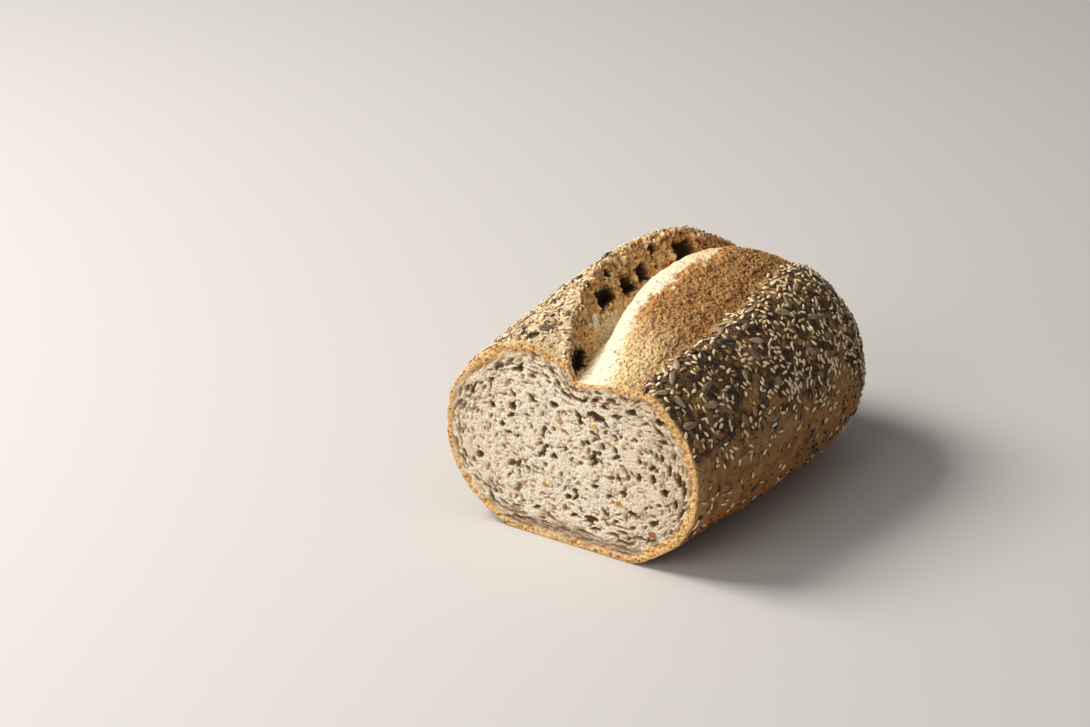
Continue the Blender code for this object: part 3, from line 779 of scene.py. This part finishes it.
walls = add_node(tree, "ShaderNodeBump", {"Height": pits.outputs["Distance"], "Strength": 0.7,
                                          "Distance": 0.0005}, invert=True)
walls = add_node(tree, "ShaderNodeBump", {"Height": grain.outputs["Fac"], "Strength": 0.5, "Distance": 0.0003,
                                          "Normal": walls.outputs["Normal"]})
tree.links.new(walls.outputs["Normal"], bsdf.inputs["Normal"])

crumb = make_piece("crumb", crumb_points, face_quads.tolist() + rim_quads.tolist() + back_faces, crumb_finish,
                   tint=crumb_colours)
crumb.data.materials.append(crust_finish)
finish_index = np.ones(len(crumb.data.polygons), dtype=np.int32)
finish_index[: len(face_quads)] = 0
crumb.data.polygons.foreach_set("material_index", finish_index)
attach(crumb, "root")
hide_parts("rye_loaf")


# Sunflower kernels: hulled seeds 9 mm long, grey brown with pale edges, pressed into the wet dough before
# baking. They are the largest of the coat, so they are laid first and the smaller seeds keep clear of them.
KERNEL_SIZE = (0.0090, 0.0046, 0.0024)


def seed_shape(name, size, rows, columns, taper, sunk):
    """One seed, long along X with its narrow end at +X, lying flat and sunk by a share of its thickness."""
    length, width, thickness = size
    turns = np.pi * np.arange(1, rows) / rows
    rounds = 2 * np.pi * np.arange(columns) / columns
    points = [(-length / 2, 0, 0)]
    for turn in turns:
        s = -np.cos(turn)
        girth = np.sin(turn) ** 0.85 * (1 - taper * (s + 1) / 2)
        for angle in rounds:
            points.append((s * length / 2, np.cos(angle) * width / 2 * girth,
                           np.sin(angle) * thickness / 2 * girth))
    points.append((length / 2, 0, 0))
    points = np.array(points) + (0, 0, thickness * (0.5 - sunk))
    faces = [[0, 1 + (k + 1) % columns, 1 + k] for k in range(columns)]
    for row in range(rows - 2):
        for k in range(columns):
            a, b = 1 + row * columns + k, 1 + row * columns + (k + 1) % columns
            faces.append([a, b, b + columns, a + columns])
    last = len(points) - 1
    faces += [[last - columns + k, last - columns + (k + 1) % columns, last] for k in range(columns)]
    mesh = bpy.data.meshes.new(name)
    mesh.from_pydata(points.tolist(), [], faces)
    layer = mesh.attributes.new("on_seed", "FLOAT_VECTOR", "POINT")
    layer.data.foreach_set("vector", (points / np.array(size)).astype(np.float32).ravel())
    mesh.shade_smooth()
    return bpy.data.objects.new(name, mesh)


# The coat's bed is the whole outside of the loaf, with how thickly each kind lies on it. It is only sown on.
RIM_BED = np.array([0.0010, 0.0020, 0.0030])
angles, distances = np.meshgrid(skin_angle, RIM_BED)
near_form = form(angles.ravel(), distances.ravel(), np.ones(angles.size))
bed_points = np.vstack([lift(near_form, len(RIM_BED), bake(near_form)[0], closed=True), bed_points])
bed_cover, bed_mats = seed_cover(bed_points), mat_cover(bed_points)
clusters = 0.5 + 0.9 * noise(bed_points, 0.0065, 51) + 0.4 * noise(bed_points, 0.0030, 52)
bed_x, bed_y, bed_z = bed_points[:, 0], bed_points[:, 1] + LENGTH / 2, bed_points[:, 2]
on_toast = eased((bed_x - band_at(bed_y)) / 0.006) * eased((seam_at(bed_y) - bed_x) / 0.002)
on_toast = on_toast * (bed_z > 0.07) * eased((OPEN_END - bed_y) / 0.01)
near_seam = on_toast * bump(bed_x, seam_at(bed_y), 0.008)
lobe = eased(-bed_x / 0.010)
far_up = eased((bed_y - 0.050) / 0.060) * eased((bed_z - 0.045) / 0.030)
bed_cap = np.vstack([bed_points, tip])
bed_faces = grid_faces(len(RIM_BED) + len(skin_y), SKIN_COLUMNS, closed=True)


def capped(values):
    """The values at the bed's points, with one more for the tip of the far end."""
    return np.append(np.clip(values, 0, 1), values[-SKIN_COLUMNS:].mean())


bed = make_piece(
    "seed_bed", bed_cap, bed_faces, crust_finish,
    sunflower=capped(bed_cover * (0.35 + 0.65 * eased((bed_z - 0.065) / 0.03))),
    flax=capped(bed_cover * np.clip(0.55 + 0.6 * clusters, 0, 1)),
    sesame=capped(bed_cover * np.clip(0.28 + 0.8 * clusters, 0.18, 1) * (1 + 0.9 * lobe + 0.8 * far_up)
                  + 0.07 * near_seam),
    poppy=capped((0.05 + 0.06 * lobe) * bed_cover + bed_mats * (0.60 - 0.25 * lobe) + 0.006 * on_toast),
    flake=capped(bed_cover),
    scrap=capped(on_toast * np.clip(0.45 + 0.8 * clusters, 0.08, 1) + 0.30 * bed_mats),
)

sow = bpy.data.node_groups.new("sow_seeds", "GeometryNodeTree")
sow.is_modifier = True
SOWING_SIZES = ("Spacing", "Per square metre", "Smallest", "Largest", "Tilt", "Clearance")
for name, kind in (("Geometry", "Geometry"), ("Cover", "String"), ("Seed shape", "Object"),
                   ("Finish", "Material"), ("Already laid", "Collection"), ("Draw", "Int"),
                   *((size, "Float") for size in SOWING_SIZES)):
    sow.interface.new_socket(name, in_out="INPUT", socket_type="NodeSocket" + kind)
sow.interface.new_socket("Geometry", in_out="OUTPUT", socket_type="NodeSocketGeometry")
given = add_node(sow, "NodeGroupInput").outputs
cover = add_node(sow, "GeometryNodeInputNamedAttribute", {"Name": given["Cover"]}, data_type="FLOAT")
spots = add_node(sow, "GeometryNodeDistributePointsOnFaces",
                 {"Mesh": given["Geometry"], "Distance Min": given["Spacing"],
                  "Density Max": given["Per square metre"], "Density Factor": cover.outputs["Attribute"],
                  "Seed": given["Draw"]}, distribute_method="POISSON")
laid = add_node(sow, "GeometryNodeCollectionInfo", {"Collection": given["Already laid"]})
laid = add_node(sow, "GeometryNodeRealizeInstances", {"Geometry": laid.outputs["Instances"]})
near = add_node(sow, "GeometryNodeProximity", {"Geometry": laid.outputs["Geometry"]}, target_element="FACES")
too_near = add_node(sow, "FunctionNodeCompare", {0: near.outputs["Distance"], 1: given["Clearance"]},
                    operation="LESS_THAN")
blocked = add_node(sow, "FunctionNodeBooleanMath", {0: near.outputs["Is Valid"], 1: too_near.outputs[0]})
free = add_node(sow, "GeometryNodeDeleteGeometry",
                {"Geometry": spots.outputs["Points"], "Selection": blocked.outputs[0]}, domain="POINT")
lean = add_node(sow, "ShaderNodeVectorMath", {0: (1.0, 1.0, 0.0), "Scale": given["Tilt"]}, operation="SCALE")
lean_most = add_node(sow, "ShaderNodeVectorMath", {0: lean.outputs[0], 1: (0.0, 0.0, 2 * np.pi)},
                     operation="ADD")
lean_least = add_node(sow, "ShaderNodeVectorMath", {0: lean.outputs[0], "Scale": -1.0}, operation="SCALE")
turned = add_node(sow, "FunctionNodeRandomValue", {0: lean_least.outputs[0], 1: lean_most.outputs[0], 8: 3},
                  data_type="FLOAT_VECTOR")
turned = add_node(sow, "FunctionNodeEulerToRotation", {0: turned.outputs[0]})
settled = add_node(sow, "FunctionNodeRotateRotation", {0: spots.outputs["Rotation"], 1: turned.outputs[0]},
                   rotation_space="LOCAL")
grown = add_node(sow, "FunctionNodeRandomValue", {2: given["Smallest"], 3: given["Largest"], 8: 5},
                 data_type="FLOAT")
placed = add_node(sow, "GeometryNodeObjectInfo", {"Object": given["Seed shape"]})
placed = add_node(sow, "GeometryNodeInstanceOnPoints",
                  {"Points": free.outputs["Geometry"], "Instance": placed.outputs["Geometry"],
                   "Rotation": settled.outputs[0], "Scale": grown.outputs[1]})
tone = add_node(sow, "FunctionNodeRandomValue", {2: 0.0, 3: 1.0, 8: 7}, data_type="FLOAT")
placed = add_node(sow, "GeometryNodeStoreNamedAttribute",
                  {"Geometry": placed.outputs[0], "Name": "tone", "Value": tone.outputs[1]},
                  data_type="FLOAT", domain="INSTANCE")
placed = add_node(sow, "GeometryNodeRealizeInstances", {"Geometry": placed.outputs[0]})
placed = add_node(sow, "GeometryNodeSetMaterial",
                  {"Geometry": placed.outputs[0], "Material": given["Finish"]})
add_node(sow, "NodeGroupOutput", {0: placed.outputs[0]})
laid_seeds = bpy.data.collections.new("laid_seeds")


def sow_on(base, name, slot, shape, finish, per_square_metre, **sizes):
    """Sows one kind of seed on a base mesh and returns them as one plain mesh piece."""
    ground = bpy.data.objects.new("ground", base.data)
    bpy.context.scene.collection.objects.link(ground)
    sower = ground.modifiers.new("sow", "NODES")
    sower.node_group = sow
    values = {"Seed shape": shape, "Finish": finish, "Already laid": laid_seeds,
              "Per square metre": float(per_square_metre), **sizes}
    for item in sow.interface.items_tree:
        if item.in_out == "INPUT" and item.name in values:
            sower[item.identifier] = values[item.name]
    bpy.context.view_layer.update()
    mesh = bpy.data.meshes.new_from_object(ground.evaluated_get(bpy.context.evaluated_depsgraph_get()))
    bpy.data.objects.remove(ground)
    mesh.name = name
    piece = bpy.data.objects.new(name, mesh)
    bpy.context.scene.collection.objects.link(piece)
    laid_seeds.objects.link(piece)
    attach(piece, "root")
    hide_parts("rye_loaf")
    return piece


# Dried kernels are satin and streaked lengthwise, paler at their edges; a few are still in dark hulls. A tone
# above 1 makes the one in the slash paler, a painted light on it in the torn wall's shade.
kernel_finish, tree, bsdf = start_material("dried_sunflower_kernel", Roughness=0.55, IOR=1.45,
                                           Specular_IOR_Level=0.4)
on_seed = add_node(tree, "ShaderNodeAttribute", attribute_name="on_seed").outputs["Vector"]
tone = add_node(tree, "ShaderNodeAttribute", attribute_name="tone").outputs["Fac"]
light_tone = add_node(tree, "ShaderNodeMapRange", {0: tone, 1: 0.12, 2: 1.0, 3: 0.0, 4: 1.0})
in_hull = add_node(tree, "ShaderNodeMapRange", {0: tone, 1: 0.20, 2: 0.24, 3: 1.0, 4: 0.0})
body = add_node(tree, "ShaderNodeMix", {0: light_tone.outputs[0], 6: linear("#6d5846"), 7: linear("#bea88a")},
                data_type="RGBA")
body = add_node(tree, "ShaderNodeMix", {0: in_hull.outputs[0], 6: body.outputs[2], 7: linear("#2e2724")},
                data_type="RGBA")
# Tones above 1 paint light on the kernel in the slash, which lies in shade.
lit_in_slash = add_node(tree, "ShaderNodeMapRange", {0: tone, 1: 1.0, 2: 1.5, 3: 0.0, 4: 0.85})
body = add_node(tree, "ShaderNodeMix", {0: lit_in_slash.outputs[0], 6: body.outputs[2], 7: linear("#f8ecd4")},
                data_type="RGBA")
sides = add_node(tree, "ShaderNodeSeparateXYZ", {0: on_seed})
off_middle = add_node(tree, "ShaderNodeMath", {0: sides.outputs["Y"]}, operation="ABSOLUTE")
edge = add_node(tree, "ShaderNodeMapRange", {0: off_middle.outputs[0], 1: 0.27, 2: 0.44, 3: 0.0, 4: 0.75})
pale = add_node(tree, "ShaderNodeMix", {0: edge.outputs[0], 6: body.outputs[2], 7: linear("#cdbd9f")},
                data_type="RGBA")
streak = add_node(tree, "ShaderNodeMapping", {"Vector": on_seed, "Scale": (1.2, 13.0, 3.0)})
streak = add_node(tree, "ShaderNodeTexNoise", {"Vector": streak.outputs[0], "Scale": 1.6, "Detail": 2.0})
shade = add_node(tree, "ShaderNodeMapRange", {0: streak.outputs["Fac"], 1: 0.38, 2: 0.62, 3: 0.55, 4: 1.30})
body = add_node(tree, "ShaderNodeMix", {0: 1.0, 6: pale.outputs[2], 7: shade.outputs[0]}, data_type="RGBA",
                blend_type="MULTIPLY")
tree.links.new(body.outputs[2], bsdf.inputs["Base Color"])
furrow = add_node(tree, "ShaderNodeBump", {"Height": streak.outputs["Fac"], "Strength": 0.6,
                                           "Distance": 0.0003})
tree.links.new(furrow.outputs["Normal"], bsdf.inputs["Normal"])
kernel_shape = seed_shape("kernel_shape", KERNEL_SIZE, 9, 12, 0.45, 0.25)
sunflower = sow_on(bed, "sunflower_kernels", "sunflower", kernel_shape, kernel_finish, 7500,
                   Cover="sunflower", Draw=3, Spacing=0.0075, Smallest=0.68, Largest=1.05, Tilt=0.16,
                   Clearance=0.001)

# One kernel more slipped into the slash and lies against the torn wall.
FALLEN_AT = (-0.0171, 0.0459)
FALLEN_OFF_WALL = 0.0036
# Its tone above 1 makes it pale, a painted light on it where the torn wall shades it.
FALLEN_LIT_TONE = 1.5
spot = int(np.argmin((burst_x - FALLEN_AT[0]) ** 2 + (burst_y - FALLEN_AT[1]) ** 2))
rightward = Vector(burst_points[spot - 5] - burst_points[spot + 5])
farther = Vector(burst_points[spot + 7 * BURST_COLUMNS] - burst_points[spot - 7 * BURST_COLUMNS])
off_wall = rightward.cross(farther).normalized()
flat_side = Vector((0.62, -0.55, 0.55)).normalized()
upright = Vector((-0.30, 0.25, 0.9))
upright = (upright - upright.dot(flat_side) * flat_side).normalized()
stand = Matrix((upright, flat_side.cross(upright), flat_side)).transposed().to_4x4()
fallen = kernel_shape.copy()
fallen.data = kernel_shape.data.copy()
fallen.data.transform(Matrix.Translation(Vector(burst_points[spot]) + FALLEN_OFF_WALL * off_wall) @ stand)
fallen_tone = fallen.data.attributes.new("tone", "FLOAT", "POINT")
fallen_tone.data.foreach_set("value", np.full(len(fallen.data.vertices), FALLEN_LIT_TONE))
fallen.data.materials.append(kernel_finish)
bpy.context.scene.collection.objects.link(fallen)
with bpy.context.temp_override(active_object=sunflower, object=sunflower,
                               selected_editable_objects=[sunflower, fallen]):
    bpy.ops.object.join()


# Rye flakes: grains rolled flat, round and brown, about 5 mm across, lying between the kernels.
RYE_FLAKE_SIZE = (0.0048, 0.0041, 0.0009)


def toned_finish(name, dark, pale, **shader):
    """A finish from dark to pale with each seed's own tone, and its tree, shader, tone and colour."""
    finish, tree, bsdf = start_material(name, **shader)
    tone = add_node(tree, "ShaderNodeAttribute", attribute_name="tone").outputs["Fac"]
    hull = add_node(tree, "ShaderNodeMix", {0: tone, 6: linear(dark), 7: linear(pale)}, data_type="RGBA")
    tree.links.new(hull.outputs[2], bsdf.inputs["Base Color"])
    return finish, tree, bsdf, tone, hull


rye_finish, *_ = toned_finish("rolled_rye_flake", "#6d4d31", "#b08a5e", Roughness=0.7, IOR=1.45,
                              Specular_IOR_Level=0.25)
rye_shape = seed_shape("rye_flake_shape", RYE_FLAKE_SIZE, 6, 10, 0.10, 0.15)
rye_flakes = sow_on(bed, "rye_flakes", "crust", rye_shape, rye_finish, 4500, Cover="flake", Draw=4,
                    Spacing=0.0080, Smallest=0.60, Largest=1.10, Tilt=0.20, Clearance=0.0012)


# Sesame seeds: pale hulled teardrops about 3.3 mm long, the seeds that show most. They are satin, and toasted
# a little at their tips; some are unhulled and brown.
SESAME_SIZE = (0.0034, 0.0021, 0.0012)
sesame_finish, tree, bsdf, tone, hull = toned_finish("toasted_sesame", "#d8b983", "#f0e2be", Roughness=0.42,
                                                     IOR=1.47, Specular_IOR_Level=0.45)
on_seed = add_node(tree, "ShaderNodeAttribute", attribute_name="on_seed").outputs["Vector"]
sides = add_node(tree, "ShaderNodeSeparateXYZ", {0: on_seed})
at_tip = add_node(tree, "ShaderNodeMapRange", {0: sides.outputs["X"], 1: 0.2, 2: 0.52, 3: 0.0, 4: 0.55})
hull = add_node(tree, "ShaderNodeMix", {0: at_tip.outputs[0], 6: hull.outputs[2], 7: linear("#bd9052")},
                data_type="RGBA")
unhulled = add_node(tree, "ShaderNodeMapRange", {0: tone, 1: 0.14, 2: 0.24, 3: 0.8, 4: 0.0})
hull = add_node(tree, "ShaderNodeMix", {0: unhulled.outputs[0], 6: hull.outputs[2], 7: linear("#98744a")},
                data_type="RGBA")
tree.links.new(hull.outputs[2], bsdf.inputs["Base Color"])
sesame_shape = seed_shape("sesame_shape", SESAME_SIZE, 6, 8, 0.50, 0.04)
sesame = sow_on(bed, "sesame_seeds", "sesame", sesame_shape, sesame_finish, 120000, Cover="sesame", Draw=7,
                Spacing=0.0018, Smallest=0.82, Largest=1.14, Tilt=0.36, Clearance=0.0007)


# Flax seeds: 5 mm long, flat, smooth and glossy, brown black. Between the kernels, some tipped on edge.
FLAX_SIZE = (0.0052, 0.0027, 0.0013)
flax_finish, *_ = toned_finish("flax_seed_hull", "#1f1716", "#503728", Roughness=0.32, IOR=1.48,
                               Specular_IOR_Level=0.5)
flax_shape = seed_shape("flax_shape", FLAX_SIZE, 7, 10, 0.35, 0.15)
flax = sow_on(bed, "flax_seeds", "flax", flax_shape, flax_finish, 20000, Cover="flax", Draw=5,
              Spacing=0.0034, Smallest=0.65, Largest=1.05, Tilt=0.34, Clearance=0.0013)


# Poppy seeds: blue black grains of a millimetre, which stick together in dark mats between the larger seeds.
POPPY_SIZE = (0.00130, 0.00105, 0.00090)
poppy_finish, *_ = toned_finish("poppy_seed_hull", "#1d1a1b", "#4f4a4d", Roughness=0.6, IOR=1.45,
                                Specular_IOR_Level=0.35)
poppy_shape = seed_shape("poppy_shape", POPPY_SIZE, 3, 5, 0.1, 0.15)
poppy = sow_on(bed, "poppy_seeds", "poppy", poppy_shape, poppy_finish, 650000, Cover="poppy", Draw=9,
               Spacing=0.00098, Smallest=0.70, Largest=1.2, Tilt=0.6, Clearance=0.00040)


# Scraps of crust and bran: thin, torn and toasted, standing up on the burst and caught between the seeds.
SCRAP_SIZE = (0.0024, 0.0007, 0.00035)
scrap_finish, *_ = toned_finish("toasted_bran_scrap", "#7a5230", "#dcb680", Roughness=0.85, IOR=1.4,
                                Specular_IOR_Level=0.2)
scrap_shape = seed_shape("scrap_shape", SCRAP_SIZE, 3, 4, 0.3, 0.3)
scraps = sow_on(bed, "bran_scraps", "crust", scrap_shape, scrap_finish, 300000, Cover="scrap", Draw=11,
                Spacing=0.0009, Smallest=0.35, Largest=1.15, Tilt=0.8, Clearance=0.0003)

# The larger scraps hang on the torn wall, clear of its cavities.
WALL_SCRAP_SIZE = (0.0036, 0.0019, 0.0006)
wall_cover = eased((burst_x - lip_at(burst_y) + 0.0008) / 0.001)
wall_cover = wall_cover * eased((groove_at(burst_y) - 0.003 - burst_x) / 0.002)
wall_cover = wall_cover * (1 - burst_hollow) * eased((0.172 - burst_y) / 0.010)
wall_cover = np.append(wall_cover, np.zeros(2 * BURST_ROWS))
burst.data.attributes.new("scrap", "FLOAT", "POINT").data.foreach_set("value", wall_cover.astype(np.float32))
wall_shape = seed_shape("wall_scrap_shape", WALL_SCRAP_SIZE, 4, 7, 0.4, 0.45)
wall_scraps = sow_on(burst, "torn_wall_scraps", "crust", wall_shape, scrap_finish, 150000, Cover="scrap",
                     Draw=13, Spacing=0.0018, Smallest=0.40, Largest=1.15, Tilt=0.9, Clearance=0.0003)
burst.data.attributes.remove(burst.data.attributes["scrap"])

for shape in (kernel_shape, rye_shape, sesame_shape, flax_shape, poppy_shape, scrap_shape, wall_shape):
    bpy.data.objects.remove(shape)
bpy.data.objects.remove(bed)
bpy.data.collections.remove(laid_seeds)


# The surface that the loaf stands on, the light and the camera: a pale table, a broad soft light from the
# left and a little behind, a weaker one from the front, and the view from the front right and above.
FLOOR_HALF = 3.0
floor_finish, tree, bsdf = start_material("pale_stone_table", Roughness=0.75, Specular_IOR_Level=0.2)
bsdf.inputs["Base Color"].default_value = linear("#cbc9c6")
floor_mesh = bpy.data.meshes.new("floor")
corners = [(x * FLOOR_HALF, y * FLOOR_HALF, -0.0002) for x, y in ((-1, -1), (1, -1), (1, 1), (-1, 1))]
floor_mesh.from_pydata(corners, [], [(0, 1, 2, 3)])
floor_mesh.materials.append(floor_finish)
floor = bpy.data.objects.new("floor", floor_mesh)
bpy.context.scene.collection.objects.link(floor)
floor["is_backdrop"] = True

CAMERA_AZIMUTH = np.radians(34.297)
CAMERA_ELEVATION = np.radians(24.210)
CAMERA_DISTANCE = 1.538
CAMERA_TARGET = Vector((-0.0288, -0.0766, 0.0790))
sin_a, cos_a = float(np.sin(CAMERA_AZIMUTH)), float(np.cos(CAMERA_AZIMUTH))
sin_e, cos_e = float(np.sin(CAMERA_ELEVATION)), float(np.cos(CAMERA_ELEVATION))
right = Vector((cos_a, sin_a, 0))
back = Vector((sin_a * cos_e, -cos_a * cos_e, sin_e))
camera_data = bpy.data.cameras.new("camera")
camera_data.lens = 106.65
camera_data.sensor_width = 36
camera = bpy.data.objects.new("camera", camera_data)
camera.matrix_world = Matrix.Translation(CAMERA_TARGET + back * CAMERA_DISTANCE) @ Matrix(
    (right, back.cross(right), back)).transposed().to_4x4()
bpy.context.scene.collection.objects.link(camera)
bpy.context.scene.camera = camera

away = Vector((-sin_a, cos_a, 0))
upward = Vector((0, 0, 1))
LIGHTS = (
    # name, offset from the loaf to the right, away from the camera and up, size, power, colour
    ("window", -1.10, 0.25, 1.25, 0.80, 33.0, "#fffaf4"),
    ("reflector", -1.20, -1.30, 0.80, 1.40, 17.0, "#fffbf6"),
)
for name, to_right, to_back, up, size, power, colour in LIGHTS:
    light = bpy.data.lights.new(name, "AREA")
    light.size = size
    light.energy = power
    light.color = linear(colour)[:3]
    lamp = bpy.data.objects.new(name, light)
    lamp.location = right * to_right + away * to_back + upward * up
    lamp.rotation_euler = (Vector((0, 0, 0.04)) - lamp.location).to_track_quat("-Z", "Y").to_euler()
    bpy.context.scene.collection.objects.link(lamp)
world = bpy.data.worlds.new("studio")
world.use_nodes = True
world.node_tree.nodes["Background"].inputs["Color"].default_value = linear("#f4f2ee")
world.node_tree.nodes["Background"].inputs["Strength"].default_value = 0.24
bpy.context.scene.world = world
bpy.context.scene.view_settings.view_transform = "Standard"

low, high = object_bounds()
